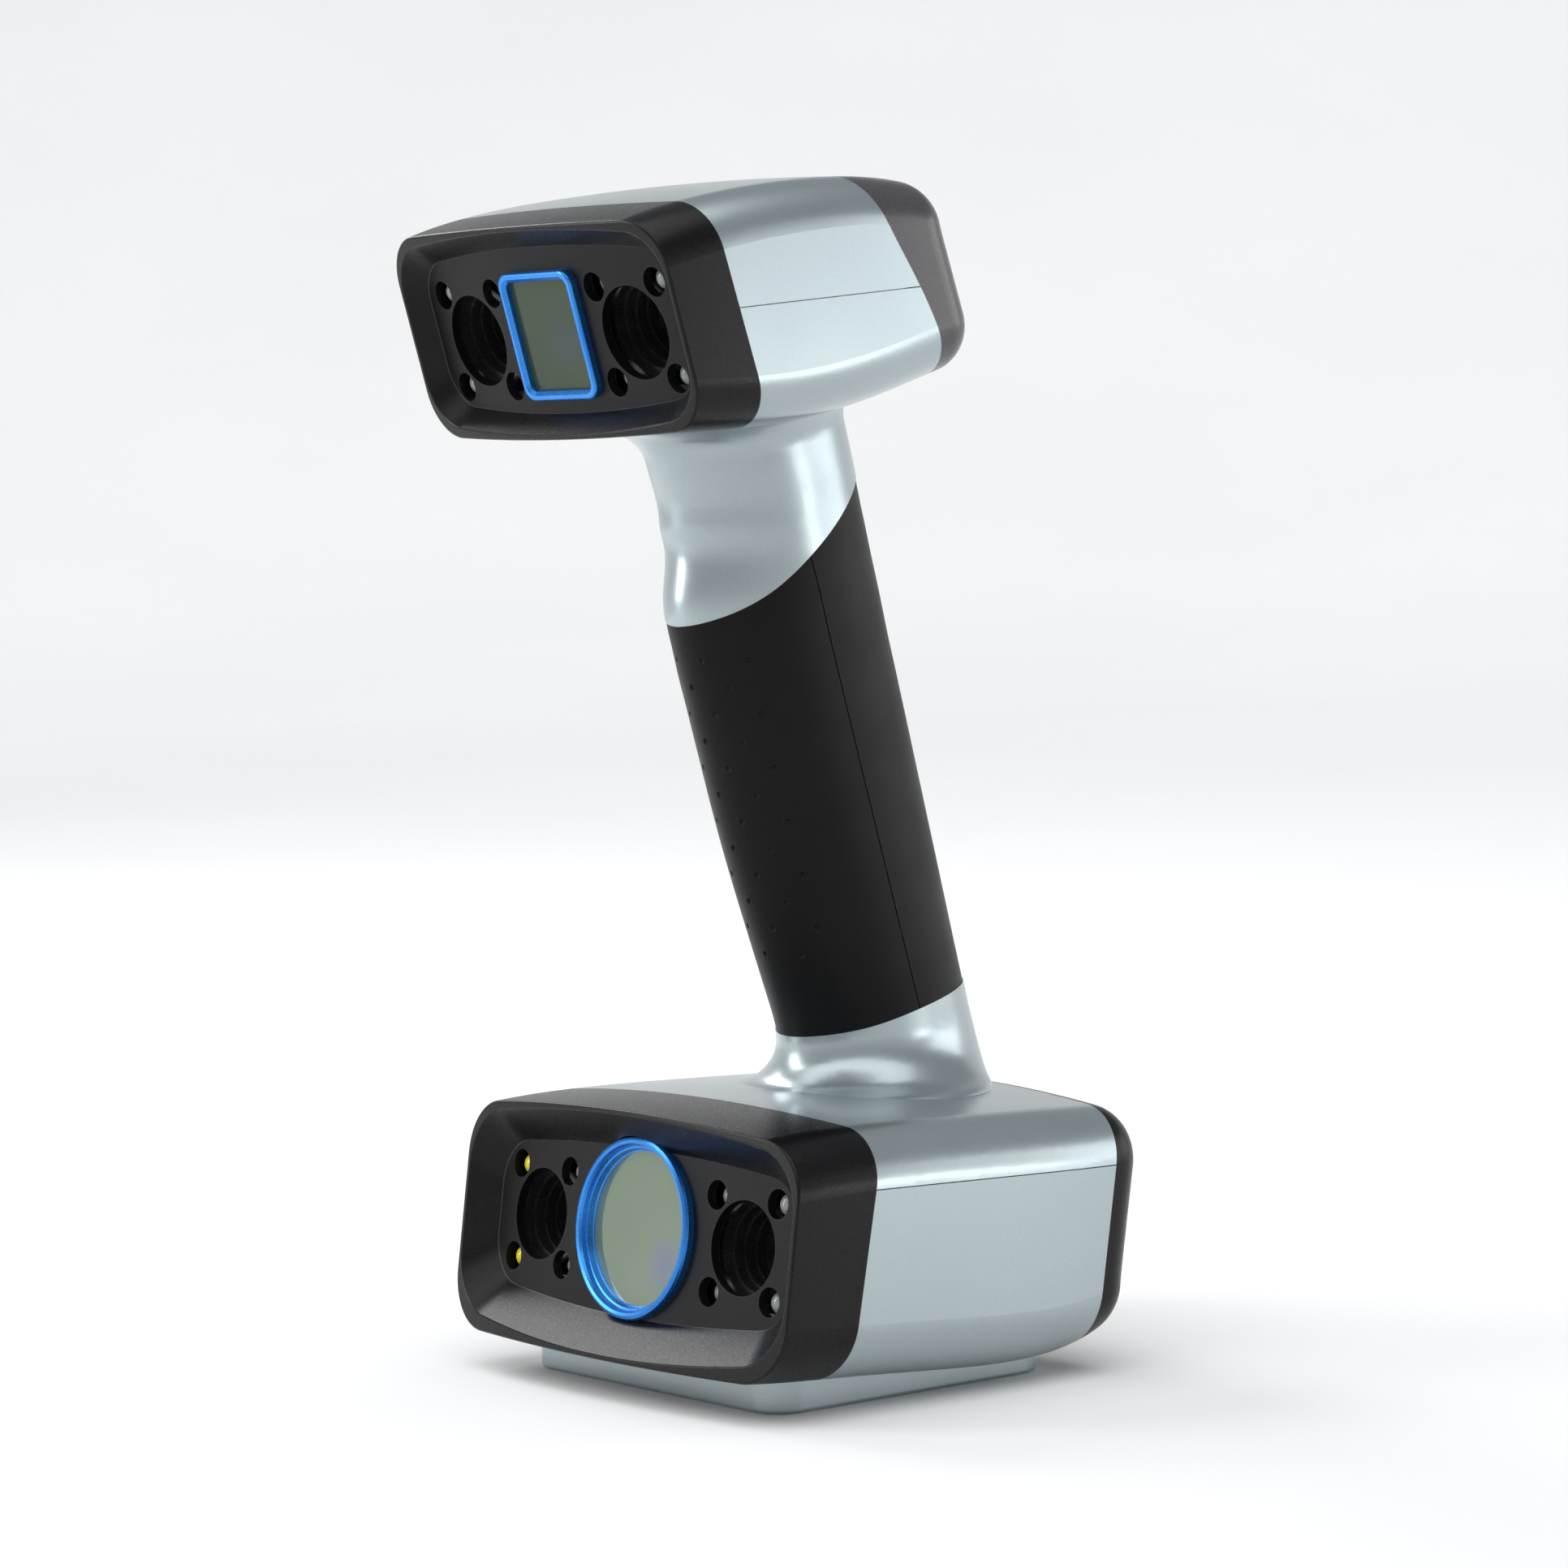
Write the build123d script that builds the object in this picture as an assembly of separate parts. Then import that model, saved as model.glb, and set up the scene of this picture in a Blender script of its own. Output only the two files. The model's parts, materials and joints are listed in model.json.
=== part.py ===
from build123d import *

import os
from dataclasses import dataclass
from math import atan2, cos, degrees, radians, sin, sqrt

# Handheld two-headed optical scanner, in millimetres.
# Origin: in the base pad's underside, midway across it. -Y is the scanning side, +Z is up, and
# the casing is symmetric about the YZ plane.
# On a face that leans back by "pitch", u runs along +X, v up the face and w out of it.
# A rib is one section of a head: (top y, top z, bottom y, bottom z, half width).
# A plane across the object is given as (y, z, pitch).

# ---------------------------------------------------------------- driving dimensions
WALL = 2.2               # shell thickness
SEAM = 0.2               # open joint between the two shells of a head
TONGUE = 1.0             # thickness of the lip that closes that joint from inside
BIG = 400                # reach of construction blocks
LIP_BOW = 418            # plan radius of both bezel lips
LIP_RADIUS = 0.5         # rounding of a lip's two edges
EDGE_RADIUS = 8          # rounding round the rear of each head
RECESS_CROWN = (1, 1)    # bulge of the recess's top and bottom edges
PANEL_THICK = 2.0
LENS_HOLE = 9.2
LED_HOLE = 2.9
LED_U = 8.8              # lamp spacing from the lens axis
LED_V = 9.35


@dataclass
class Head:
    """The dimensions of one scanning head."""

    ribs: list
    crown: tuple             # bulge of the top edge and of the bottom edge of a section
    corner: float
    face: tuple              # centre of the lens panel
    lip: float               # how far the lip's middle stands before the panel
    panel_bow: float         # plan radius of the lens panel
    floor: tuple             # recess outline at the panel: half width, top, bottom, corner
    mouth: tuple             # recess outline at the lip
    bezel_back: tuple        # joint between bezel and shells
    seam: tuple              # joint between top and bottom shells: y, z, slope
    rear_joint: list         # joint between shells and rear cover, in the side view
    lens_u: float            # distance of each camera axis from the middle
    posts: list              # half of the panel's screw posts, mirrored to the other side


LOWER = Head(
    ribs=[
        (-40.8, 56.0, -47.9, 8.2, 53.3),
        (-17.0, 56.9, -26.0, 6.3, 54.0),
        (6.5, 56.4, -2.0, 4.7, 54.0),
        (30.0, 55.5, 25.0, 3.5, 53.8),
        (55.2, 54.3, 46.8, 8.5, 52.3),
    ],
    crown=(3.4, 0.8),
    corner=11.5,
    face=(-35.3, 32.1, 8.5),
    lip=7.0,
    panel_bow=625,
    floor=(49.2, 16.0, -17.0, 9.5),
    mouth=(55.2, 22.4, -24.6, 12.0),
    bezel_back=(-24.8, 30.0, 11.5),
    seam=(-17.9, 43.5, -1.8),
    rear_joint=[(48.7, 70.0), (45.9, 54.6), (41.8, 31.4), (38.2, 11.0), (36.6, 0.0)],
    lens_u=32.7,
    posts=[(47.0, 14.5), (47.0, -14.5)],
)
UPPER = Head(
    ribs=[
        (-62.2, 226.6, -50.5, 186.7, 43.5),
        (-44.0, 232.0, -31.0, 187.5, 44.1),
        (-25.5, 235.2, -12.0, 189.8, 44.1),
        (-7.0, 236.7, 6.0, 194.3, 43.7),
        (13.5, 235.3, 25.0, 199.6, 42.2),
    ],
    crown=(1.3, 1.3),
    corner=10.0,
    face=(-49.6, 206.4, -15.75),
    lip=4.3,
    panel_bow=435,
    floor=(41.0, 18.0, -15.0, 8.5),
    mouth=(44.4, 22.2, -18.3, 10.5),
    bezel_back=(-39.7, 207.0, -17.5),
    seam=(-37.3, 210.7, 5.0),
    rear_joint=[(-20, 244), (-6.9, 235.5), (-2.4, 228.1), (6.4, 214.5), (13.0, 200.9), (15, 188)],
    lens_u=25.4,
    posts=[(36.5, 16.5), (36.5, -14.2)],
)

# A handle station is (z, centre y, half width, half depth) of a horizontal oval.
HANDLE_STATIONS = [
    (70.0, 25.4, 16.5, 22.0),
    (104.0, 15.3, 16.5, 23.8),
    (132.0, 7.8, 16.5, 24.4),
    (147.0, 3.9, 16.6, 24.5),
    (154.0, 2.5, 16.8, 24.2),
    (163.0, 1.8, 16.8, 22.6),
    (172.0, 0.1, 16.8, 22.1),
    (182.0, -2.4, 17.2, 22.2),
    (202.0, -8.0, 17.4, 22.8),
]
HANDLE_FOOT = 70.0       # below this height the handle is the collar's flare
HANDLE_TOP = 202.0       # inside the upper head
HANDLE_STEPS = 22
HANDLE_LEAN = 0.2823     # how far the collar moves back for each millimetre down
HANDLE_PITCH = -15.6
OVAL_POINTS = 8          # points on each oval section of the handle
COLLAR_SEAT = 55.9       # height of the lower head under the collar's front
COLLAR_BASE = 51.0
COLLAR_FLARE = 12.0      # radius of the collar's flare
COLLAR_STEPS = 10
NECK_FILLET = 7.5
NECK_JOINT = [(-60, 149.0), (-20.4, 150.1), (-9.9, 155.8), (0.7, 164.2), (10.1, 172.4), (30, 187)]
COLLAR_JOINT = [(-40, 66.0), (5.1, 66.8), (13.1, 68.5), (23.1, 71.2), (30.7, 73.0), (80, 77)]
GRIP_INSET = 0.2         # the grip covers lie this much below the silver parts
GRIP_SEAM = 0.3
CORE_INSET = 6.0
CORE_WALL = 2.5
CORE_TOP = 197.0
CORE_FOOT = (34, 34, 3)
CORE_HEAD = (30, 23, 2)
CABLE_RADIUS = 3.0
CABLE_ENDS = (30.8, 46.6), (-7.5, 206.0)     # y and z of the wires' two ends
DIMPLE_RADIUS = 0.9
DIMPLE_PITCH = 10.8
DIMPLE_ANGLE = 14.5      # turn between neighbouring columns of dimples
DIMPLE_ROWS = 6

# Camera and lamps, measured along w from the panel's centre.
BARREL_RADIUS = 10.5
BARREL_FRONT = -3.6
BARREL_BACK = -19.0
BARREL_RINGS = 5
LENS_RADIUS = 5.2
LENS_FRONT = -14.0
SENSOR_BOARD = 24.0
LED_RADIUS = 2.2
LED_TOP = -2.6
LED_BOARD_FRONT = -7.0
LED_BOARD_SIZE = 24.0
BOARD_THICK = 1.2
CHASSIS_FRONT = -10.0
CHASSIS_THICK = 2.0

RING_RADIUS = 18.0       # round window of the lower head
RING_STAND = 1.8
RING_V = 0.4
ROUND_GLASS = 15.2
WINDOW_HALF = (11.7, 12.8)   # window frame of the upper head
WINDOW_STAND = 1.5
WINDOW_GLASS_HALF = (9.9, 10.9)
WINDOW_V = 0.6

# Projectors, measured like the cameras. A block is (width, height, depth).
TUBE_RADIUS = 14.0       # lens tube of the pattern projector
TUBE_FRONT = -4.6
TUBE_LENS = (9.5, -12.0)     # radius and depth of its front element
TUBE_BACK = -24.0
LIGHT_BOX = (32, 30, 24)
SINK_BASE = (36, 30, 3)
SINK_FIN = (1.4, 30, 8)
SINK_FINS = 7
SINK_PITCH = 5.0
LINE_BOX = (24, 26, 21)
LINE_BOX_FRONT = -5.0
LINE_POCKET = (18, 20, 3)
EMITTER_RADIUS = 3.2
EMITTER_HEIGHT = 2.4
EMITTER_V = 5.5          # each emitter's distance from the middle

REAR_PANEL_THICK = 2.2
BUTTON_GAP = 0.15
BUTTON_STAND = 0.8
BUTTON_TRAVEL = 0.8
BUTTONS = {"scan_button": (0.0, 6.0), "plus_button": (-15.0, 3.6), "minus_button": (15.0, 3.6)}
STATUS_BAR = (10.0, 1.6, 8.6)    # width, height and place above the scan button
SWITCH_TOP = -5.0
SWITCH_CASE = (6, 6, 2)
BUTTON_BOARD = (44.0, 18.0)

SOCKET_RADIUS = 6.5
SOCKET_WALL = 2.5
SOCKET_LIP = 0.6         # how far the collar stands out of the rear cover
SOCKET_CLEAR = 8.0       # free depth for the plug
SOCKET_DEPTH = 12.0
INSERT_RADIUS = 5.6      # insulator, held in a narrower bore under the free depth
CONTACTS = 7
CONTACT_RADIUS = 0.9
CONTACT_RING = 3.8       # radius of the circle that all but the middle contact stand on
CONTACT_DEPTH = 3.0
REAR_SCREWS = (40, 9)    # distance of the rear cover's screws from its middle
MAIN_BOARD = (80, 1.6, 38)
MAIN_BOARD_PLACE = (30.8, 27)    # y and z of the board's middle
CHIPS = [(-22, 30, 16, 16), (6, 32, 12, 12), (26, 22, 9, 14), (-4, 16, 10, 5)]    # x, z, width, height

PAD_WIDTH = 80.2
PAD_FRONT = 33.35        # reach before the origin
PAD_REAR = 36.8          # reach behind it
PAD_CORNER = 7.0
PAD_SCREW_X = 30
PAD_SCREW_Y = (-20, 24)
BOSS_RADIUS = 2.4        # bosses inside the bottom shell that take the pad's screws
POST_RADIUS = 1.8
SCREW_RADIUS = 1.0       # shank; the head is twice as wide
SCREW_HEAD = 1.2


# ---------------------------------------------------------------- construction helpers
def face_plane(y, z, pitch, out=0):
    """The plane of a face centred on y, z that leans back by pitch, moved out along its normal."""
    outward = Vector(0, -cos(radians(pitch)), sin(radians(pitch)))
    return Plane(origin=Vector(0, y, z) + outward * out, x_dir=(1, 0, 0), z_dir=outward)


def crowned_outline(half_width, top, bottom, crown, radius):
    """A rounded rectangle whose top and bottom edges bulge by the two values of crown."""
    high, low = top - crown[0], bottom + crown[1]
    top_edge = ThreePointArc((-half_width, high), (0, top), (half_width, high))
    low_edge = ThreePointArc((half_width, low), (0, bottom), (-half_width, low))
    right_edge = Line(top_edge @ 1, low_edge @ 0)
    left_edge = Line(low_edge @ 1, top_edge @ 0)
    outline = make_face([top_edge, right_edge, low_edge, left_edge])
    return fillet(outline.vertices(), radius)


def rib_section(rib, crown, corner, inset, setback=0):
    """One section of a head in place, drawn in by inset and moved forward by setback."""
    top_y, top_z, low_y, low_z, half_width = rib
    pitch = degrees(atan2(top_y - low_y, top_z - low_z))
    half_height = Vector(0, top_y - low_y, top_z - low_z).length / 2 - inset
    plane = face_plane((top_y + low_y) / 2, (top_z + low_z) / 2, pitch, setback)
    return plane * crowned_outline(half_width - inset, half_height, -half_height, crown, corner - inset)


def head_body(head, inset=0):
    """A head's full outer shape, or with an inset the hollow inside its walls."""
    sections = [rib_section(rib, head.crown, head.corner, inset) for rib in head.ribs[:-1]]
    sections.append(rib_section(head.ribs[-1], head.crown, head.corner, inset, setback=inset))
    body = loft(sections)
    rear_face = body.faces().filter_by(GeomType.PLANE).sort_by(Axis.Y)[-1]
    return fillet(rear_face.edges(), EDGE_RADIUS - inset)


def rear_plane(head, out=0):
    """The plane of a head's rear face, facing backwards, with +Y of the plane pointing up."""
    top_y, top_z, low_y, low_z, _ = head.ribs[-1]
    pitch = atan2(top_y - low_y, top_z - low_z)
    outward = Vector(0, cos(pitch), -sin(pitch))
    centre = Vector(0, (top_y + low_y) / 2, (top_z + low_z) / 2)
    return Plane(origin=centre + outward * out, x_dir=(-1, 0, 0), z_dir=outward)


def behind_bow(y, z, pitch, out, radius):
    """Everything behind a face that is bowed in plan with the given radius."""
    centre = face_plane(y, z, pitch, out - radius)
    return Plane(origin=centre.origin, x_dir=(1, 0, 0), z_dir=centre.y_dir) * Cylinder(radius, BIG)


def behind_curve(points):
    """Everything on the +Y side of a curve that runs up or down the side view."""
    curve = Spline(*[(0, y, z) for y, z in points])
    first, last = curve @ 0, curve @ 1
    far = Polyline(last, (0, BIG / 2, last.Z), (0, BIG / 2, first.Z), first)
    return extrude(make_face(curve + far), BIG / 2, dir=(1, 0, 0), both=True)


def above_curve(points):
    """Everything above a curve that runs along the side view."""
    curve = Spline(*[(0, y, z) for y, z in points])
    first, last = curve @ 0, curve @ 1
    far = Polyline(last, (0, last.Y, BIG), (0, first.Y, BIG), first)
    return extrude(make_face(curve + far), BIG / 2, dir=(1, 0, 0), both=True)


def above(y, z, slope, offset=0):
    """Everything above a plane through y, z that rises to the rear by slope."""
    normal = Vector(0, -sin(radians(slope)), cos(radians(slope)))
    plane = Plane(origin=(0, y, z), x_dir=(1, 0, 0), z_dir=normal)
    return plane * Pos(0, 0, BIG / 2 + offset) * Box(BIG, BIG, BIG)


def block_behind(plane):
    """Everything on the far side of a plane, against its normal."""
    return plane * Pos(0, 0, -BIG / 2) * Box(BIG, BIG, BIG)


def slab(plane, back, front):
    """The layer of a plane's normal between two heights."""
    return plane * Pos(0, 0, (back + front) / 2) * Box(BIG, BIG, front - back)


def turned(plane, points):
    """A solid of revolution about a plane's normal from (radius, height) points."""
    outline = make_face(Polyline(*[(r, 0, h) for r, h in points], close=True))
    return plane * revolve(outline, Axis.Z)


def disc(plane, radius, low, high):
    """A round plug along a plane's normal between two heights."""
    return plane * Pos(0, 0, (low + high) / 2) * Cylinder(radius, high - low)


def block_from(front, size):
    """A block of (width, height, depth) that reaches down from a height along Z."""
    return Pos(0, 0, front - size[2] / 2) * Box(*size)


def domed_plug(radius, low, shoulder, top):
    """A round plug from low to shoulder along Z, closed by a spherical dome that peaks at top."""
    rise = top - shoulder
    ball = (radius**2 + rise**2) / (2 * rise)
    dome = Pos(0, 0, top - ball) * Sphere(ball) & disc(Plane.XY, radius, shoulder, top + 1)
    return disc(Plane.XY, radius, low, shoulder) + dome


def lens_places(head):
    """The two camera axes on a head's face."""
    return [(-head.lens_u, 0), (head.lens_u, 0)]


def lamp_places(head):
    """The eight lamp axes on a head's face."""
    return [
        (u + side * LED_U, level * LED_V)
        for u, _ in lens_places(head)
        for side in (-1, 1)
        for level in (-1, 1)
    ]


def post_places(head):
    """The four screw posts behind a head's lens panel."""
    return [(side * u, v) for u, v in head.posts for side in (-1, 1)]


def group(solids):
    """Several identical separate solids as one node."""
    return Compound(children=list(solids))


# ---------------------------------------------------------------- handle shape
def handle_station(z):
    """The handle's centre y, half width and half depth at a height, smooth between the stations."""
    stations = HANDLE_STATIONS
    low = max(i for i in range(len(stations) - 1) if stations[i][0] <= z or i == 0)
    before, start = stations[max(low - 1, 0)], stations[low]
    end, after = stations[low + 1], stations[min(low + 2, len(stations) - 1)]
    span = end[0] - start[0]
    t = (z - start[0]) / span
    values = []
    for k in (1, 2, 3):
        slope_in = (end[k] - before[k]) / (end[0] - before[0]) * span
        slope_out = (after[k] - start[k]) / (after[0] - start[0]) * span
        values.append(
            (2 * t**3 - 3 * t**2 + 1) * start[k]
            + (t**3 - 2 * t**2 + t) * slope_in
            + (3 * t**2 - 2 * t**3) * end[k]
            + (t**3 - t**2) * slope_out
        )
    return values


def oval(z, centre_y, half_width, half_depth):
    """One horizontal oval section of the handle, in place."""
    turns = [radians(360 * step / OVAL_POINTS + 90) for step in range(OVAL_POINTS)]
    points = [(half_width * cos(a), centre_y + half_depth * sin(a)) for a in turns]
    return Pos(0, 0, z) * make_face(Spline(*points, periodic=True))


def handle_bar(inset=0):
    """The handle from its foot up into the upper head, drawn in by inset."""
    sections = []
    for step in range(HANDLE_STEPS + 1):
        z = HANDLE_FOOT + (HANDLE_TOP - HANDLE_FOOT) * step / HANDLE_STEPS
        centre_y, half_width, half_depth = handle_station(z)
        sections.append(oval(z, centre_y, half_width - inset, half_depth - inset))
    return loft(sections)


def handle_root(flare_radius, inset=0):
    """The handle's lower end, which flares forward and sideways onto the lower head."""
    centre_y, half_width, half_depth = handle_station(HANDLE_FOOT)
    sections = []
    for step in range(COLLAR_STEPS + 1):
        drop = (HANDLE_FOOT - COLLAR_BASE) * (1 - step / COLLAR_STEPS)
        height = HANDLE_FOOT - drop - COLLAR_SEAT
        climb = min(max(height, 0), flare_radius)
        flare = flare_radius - sqrt(flare_radius**2 - (flare_radius - climb) ** 2)
        y = centre_y + drop * HANDLE_LEAN - 0.65 * flare
        width = half_width + flare - inset
        depth = half_depth + 0.35 * flare - inset
        sections.append(oval(HANDLE_FOOT - drop, y, width, depth))
    return loft(sections)


def handle_hollow(inset):
    """The straight space inside the handle, open to both heads."""
    return handle_bar(inset) + handle_root(0.01, inset)


# ---------------------------------------------------------------- head casings
def front_bezel(head, outer, hollow):
    """The black front ring with its recess flaring from the panel out to the lip."""
    block = outer & behind_bow(*head.face, head.lip, LIP_BOW)
    block -= behind_bow(*head.bezel_back, 0, LIP_BOW)
    floor = behind_bow(*head.face, 0, head.panel_bow)
    spread = [(m - f) / head.lip for f, m in zip(head.floor, head.mouth)]
    sections = []
    for out in (-3.0, head.lip + 2.0):
        half_width, top, bottom, radius = [f + s * out for f, s in zip(head.floor, spread)]
        outline = crowned_outline(half_width, top, bottom, RECESS_CROWN, radius)
        sections.append(face_plane(*head.face, out) * outline)
    recess = loft(sections, ruled=True)
    bezel = block - (recess - floor) - (hollow & floor)
    bezel = fillet(lip_face(head, bezel).outer_wire().edges(), LIP_RADIUS)
    return fillet(lip_face(head, bezel).inner_wires()[0].edges(), LIP_RADIUS)


def lip_face(head, bezel):
    """The bezel's foremost face, which runs round the mouth of the recess."""
    forwards = Axis((0, 0, 0), tuple(face_plane(*head.face).z_dir))
    round_faces = bezel.faces().filter_by(GeomType.CYLINDER)
    return round_faces.filter_by(lambda surface: surface.radius > LIP_BOW - 1).sort_by(forwards)[-1]


def lens_panel(head, hollow, window):
    """The curved plate at the bottom of the recess, with its lens, lamp and window openings."""
    panel = hollow & behind_bow(*head.face, 0, head.panel_bow)
    panel -= behind_bow(*head.face, -PANEL_THICK, head.panel_bow - PANEL_THICK)
    face = face_plane(*head.face)
    for u, v in lens_places(head):
        panel -= disc(face * Pos(u, v, 0), LENS_HOLE, -9, 9)
    for u, v in lamp_places(head):
        panel -= disc(face * Pos(u, v, 0), LED_HOLE, -9, 9)
    for u, v in post_places(head):
        panel += disc(face * Pos(u, v, 0), POST_RADIUS, CHASSIS_FRONT, -PANEL_THICK - 1)
        panel -= disc(face * Pos(u, v, 0), SCREW_RADIUS, CHASSIS_FRONT, CHASSIS_FRONT + 5)
    return panel - window


def shell_zone(head):
    """The part of a head between its bezel and its rear cover."""
    return behind_bow(*head.bezel_back, 0, LIP_BOW) - behind_curve(head.rear_joint)


def seam_tongue(head, hollow, zone):
    """The inner lip that rises from the bottom shell across the joint."""
    ring = hollow - head_body(head, WALL + TONGUE)
    return (ring & zone & above(*head.seam, -2.5)) - above(*head.seam, 1.5)


# ---------------------------------------------------------------- optics
def camera_barrel(face, u):
    """A lens tube whose bore narrows inwards in baffle rings."""
    step_depth = (LENS_FRONT - BARREL_FRONT) / BARREL_RINGS
    step_in = (LENS_HOLE - LENS_RADIUS) / BARREL_RINGS
    points = [(BARREL_RADIUS, BARREL_FRONT)]
    for ring in range(BARREL_RINGS):
        radius = LENS_HOLE - step_in * ring
        points.append((radius, BARREL_FRONT + step_depth * ring))
        points.append((radius - 0.3, BARREL_FRONT + step_depth * (ring + 1)))
    points += [(LENS_RADIUS, LENS_FRONT), (LENS_RADIUS, LENS_FRONT - 3)]
    points += [(LENS_RADIUS - 1, LENS_FRONT - 3), (LENS_RADIUS - 1, BARREL_BACK)]
    points.append((BARREL_RADIUS, BARREL_BACK))
    return turned(face * Pos(u, 0, 0), points)


def camera_lens(face, u):
    """A lens element with a domed front, seated in the barrel."""
    plug = domed_plug(LENS_RADIUS, LENS_FRONT - 3, LENS_FRONT - 0.4, LENS_FRONT + 1)
    return face * Pos(u, 0, 0) * plug


def sensor_board(face, u):
    """The square board behind a camera barrel, with its image sensor."""
    board = Pos(0, 0, BARREL_BACK - BOARD_THICK / 2) * Box(SENSOR_BOARD, SENSOR_BOARD, BOARD_THICK)
    chip = Pos(0, 0, BARREL_BACK + 0.5) * Box(5.6, 5.6, 1.0)
    plug = Pos(0, -7.5, BARREL_BACK - BOARD_THICK - 1) * Box(12, 4, 2)
    return face * Pos(u, 0, 0) * (board + chip + plug)


def lamp(face, u, v):
    """A small domed lamp standing on the lamp board."""
    return face * Pos(u, v, 0) * domed_plug(LED_RADIUS, LED_BOARD_FRONT, LED_TOP - 1.4, LED_TOP)


def lamp_board(face, u):
    """The board round a barrel that carries its four lamps."""
    board = RectangleRounded(LED_BOARD_SIZE, LED_BOARD_SIZE, 3) - Circle(BARREL_RADIUS + 0.2)
    sheet = extrude(board, BOARD_THICK)
    return face * Pos(u, 0, LED_BOARD_FRONT - BOARD_THICK) * sheet


def optics_chassis(head, core_half):
    """The metal plate that holds barrels and projector in line, with ears round its edge."""
    face = face_plane(*head.face)
    plate = head_body(head, WALL + TONGUE + 0.1) & slab(face, CHASSIS_FRONT - CHASSIS_THICK, CHASSIS_FRONT)
    for u, v in lens_places(head):
        plate -= disc(face * Pos(u, v, 0), BARREL_RADIUS, -30, 0)
    for u, v in post_places(head):
        plate -= disc(face * Pos(u, v, 0), SCREW_RADIUS, -30, 0)
    return plate - face * Box(2 * core_half[0], 2 * core_half[1], 60)


def screw(plane, length):
    """A pan-head screw with a hexagonal socket; its head's underside lies on the plane."""
    body = disc(Plane.XY, SCREW_RADIUS, -length, 0) + disc(Plane.XY, 2 * SCREW_RADIUS, 0, SCREW_HEAD)
    socket = extrude(RegularPolygon(0.9 * SCREW_RADIUS, 6), SCREW_HEAD)
    return plane * (body - Pos(0, 0, SCREW_HEAD - 0.7) * socket)


def chassis_screws(head):
    """The screws that hold the optics chassis to the lens panel's posts."""
    back = face_plane(*head.face, CHASSIS_FRONT - CHASSIS_THICK)
    flipped = Plane(origin=back.origin, x_dir=back.x_dir, z_dir=-back.z_dir)
    return group(screw(flipped * Pos(u, -v, 0), CHASSIS_THICK + 5) for u, v in post_places(head))


def round_window():
    """Ring, glass, gasket and projector of the lower head's round window."""
    face = face_plane(*LOWER.face) * Pos(0, RING_V, 0)
    top = RING_STAND
    ring = [(RING_RADIUS, -4.0), (RING_RADIUS, top - 0.8), (RING_RADIUS - 0.25, top - 0.25)]
    ring += [(RING_RADIUS - 0.8, top), (RING_RADIUS - 1.4, top - 0.15), (RING_RADIUS - 1.7, top - 0.7)]
    ring += [(RING_RADIUS - 1.9, 0.3), (RING_RADIUS - 2.3, 0.2), (RING_RADIUS - 2.5, -1.0)]
    ring += [(ROUND_GLASS, -1.2), (ROUND_GLASS, -4.0)]
    glass = disc(face, ROUND_GLASS, -2.8, -1.3)
    gasket = disc(face, ROUND_GLASS, -4.0, -2.8) - disc(face, ROUND_GLASS - 1.6, -5, -2)
    return turned(face, ring), glass, gasket


def rounded_block(half, corner, low, high):
    """A block with rounded upright edges, in a face's own frame."""
    outline = RectangleRounded(2 * half[0], 2 * half[1], corner)
    return Pos(0, 0, low) * extrude(outline, high - low)


def square_window():
    """Frame, glass, gasket and opening of the upper head's rectangular window."""
    face = face_plane(*UPPER.face) * Pos(0, WINDOW_V, 0)
    outside = rounded_block(WINDOW_HALF, 3.0, -4.0, WINDOW_STAND)
    rim_edges = outside.faces().sort_by(Axis.Z)[-1].edges()
    outside = fillet(rim_edges, 0.7)
    inside = rounded_block(WINDOW_GLASS_HALF, 1.6, -5.0, WINDOW_STAND + 1)
    frame = outside - inside
    inner_rim = frame.faces().sort_by(Axis.Z)[-1].inner_wires()[0].edges()
    frame = chamfer(inner_rim, 0.7)
    glass = rounded_block(WINDOW_GLASS_HALF, 1.6, -1.6, -0.1)
    gasket = rounded_block(WINDOW_GLASS_HALF, 1.6, -3.0, -1.6)
    small = (WINDOW_GLASS_HALF[0] - 1.4, WINDOW_GLASS_HALF[1] - 1.4)
    gasket -= rounded_block(small, 1.0, -4.0, -1.0)
    hole = rounded_block(WINDOW_HALF, 3.0, -4.0, WINDOW_STAND)
    return face * frame, face * glass, face * gasket, face * hole


def pattern_projector():
    """The projector behind the round window: a lens tube on a light box."""
    face = face_plane(*LOWER.face) * Pos(0, RING_V, 0)
    radius, depth = TUBE_LENS
    profile = [(TUBE_RADIUS, TUBE_FRONT), (TUBE_RADIUS - 1.4, TUBE_FRONT), (radius + 1.5, depth + 3)]
    profile += [(radius, depth + 2.5), (radius, depth), (0, depth), (0, TUBE_BACK), (TUBE_RADIUS, TUBE_BACK)]
    return turned(face, profile) + face * block_from(TUBE_BACK, LIGHT_BOX)


def line_projector():
    """The light source behind the rectangular window: a box with two line emitters."""
    face = face_plane(*UPPER.face) * Pos(0, WINDOW_V, 0)
    floor = LINE_BOX_FRONT - LINE_POCKET[2]
    box = block_from(LINE_BOX_FRONT, LINE_BOX) - block_from(LINE_BOX_FRONT, LINE_POCKET)
    for level in (-1, 1):
        emitter = disc(Plane.XY, EMITTER_RADIUS, floor - 0.2, floor + EMITTER_HEIGHT)
        box += Pos(0, level * EMITTER_V, 0) * emitter
    return face * box


def heat_sink():
    """A finned block on the back of the projector."""
    face = face_plane(*LOWER.face) * Pos(0, RING_V, 0)
    front = TUBE_BACK - LIGHT_BOX[2]
    sink = block_from(front, SINK_BASE)
    for fin in range(SINK_FINS):
        u = (fin - (SINK_FINS - 1) / 2) * SINK_PITCH
        sink += Pos(u, 0, 0) * block_from(front - SINK_BASE[2], SINK_FIN)
    return face * sink


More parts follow.
